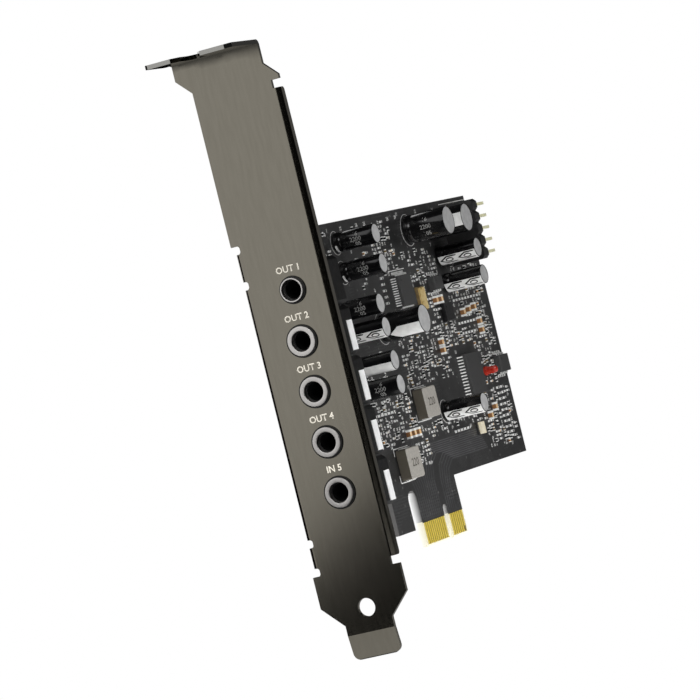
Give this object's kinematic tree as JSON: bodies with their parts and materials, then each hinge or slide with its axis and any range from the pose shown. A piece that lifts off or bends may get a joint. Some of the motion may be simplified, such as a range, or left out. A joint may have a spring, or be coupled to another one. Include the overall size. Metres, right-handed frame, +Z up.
{
  "type": "pci sound card",
  "caption": "Sound card with a full-height bracket, a column of audio jacks and a short one-lane edge plug.",
  "frame": {"origin": "on the underside of the screw tab, in the plane of the bracket's outer face and the board's middle plane", "axes": "+X from the bracket's outer face along the board, +Z up from the plug to the tab, -Y out of the component side"},
  "size_m": [0.1197, 0.0214, 0.12],
  "materials": {
    "bracket_plating": "dark nickel plate, satin",
    "brass_lid": "satin",
    "can_sleeve": "black sleeve with a bare grey top",
    "ceramic_tray": "dark ceramic",
    "chip_black": "moulded",
    "choke_block": "pressed iron powder",
    "gold_plating": "gold plate",
    "header_plastic": "black moulded",
    "jack_plastic": "black moulded",
    "pale_ceramic": "pale moulded cap",
    "pale_plastic": "natural moulded",
    "red_lens": "clear red moulding",
    "ring_nickel": "nickel plate",
    "screw_steel": "plated steel",
    "solder_mask": "black solder mask on glass-fibre board",
    "tan_ceramic": "fired ceramic",
    "tin_plating": "tin plate"
  },
  "bodies": {
    "root": {"amplifier_chip": "chip_black", "amplifier_leads": "tin_plating", "bracket": "bracket_plating", "bracket_screws": "screw_steel", "capacitor_1": "can_sleeve", "capacitor_10": "can_sleeve", "capacitor_11": "can_sleeve", "capacitor_12": "can_sleeve", "capacitor_2": "can_sleeve", "capacitor_3": "can_sleeve", "capacitor_4": "can_sleeve", "capacitor_5": "can_sleeve", "capacitor_6": "can_sleeve", "capacitor_7": "can_sleeve", "capacitor_8": "can_sleeve", "capacitor_9": "can_sleeve", "centre_jack_blades": "tin_plating", "centre_jack_housing": "jack_plastic", "centre_jack_insert": "pale_plastic", "centre_jack_ring": "ring_nickel", "chip_capacitors": "tan_ceramic", "chip_resistors": "chip_black", "choke_1": "choke_block", "choke_2": "choke_block", "choke_terminals": "tin_plating", "circuit_board": "solder_mask", "codec_chip": "chip_black", "codec_leads": "tin_plating", "controller_chip": "chip_black", "controller_leads": "tin_plating", "crystal_base": "ceramic_tray", "crystal_lid": "brass_lid", "driver_chip": "chip_black", "driver_leads": "tin_plating", "edge_contacts": "gold_plating", "front_jack_blades": "tin_plating", "front_jack_housing": "jack_plastic", "front_jack_insert": "pale_plastic", "front_jack_ring": "ring_nickel", "header_housing": "header_plastic", "header_pins": "gold_plating", "indicator_lamp": "red_lens", "line_in_jack_blades": "tin_plating", "line_in_jack_housing": "jack_plastic", "line_in_jack_insert": "pale_plastic", "line_in_jack_ring": "ring_nickel", "oscillator": "pale_ceramic", "power_chip": "chip_black", "rear_jack_blades": "tin_plating", "rear_jack_housing": "jack_plastic", "rear_jack_insert": "pale_plastic", "rear_jack_ring": "ring_nickel", "side_jack_blades": "tin_plating", "side_jack_housing": "jack_plastic", "side_jack_ring": "ring_nickel"}
  },
  "joints": []
}
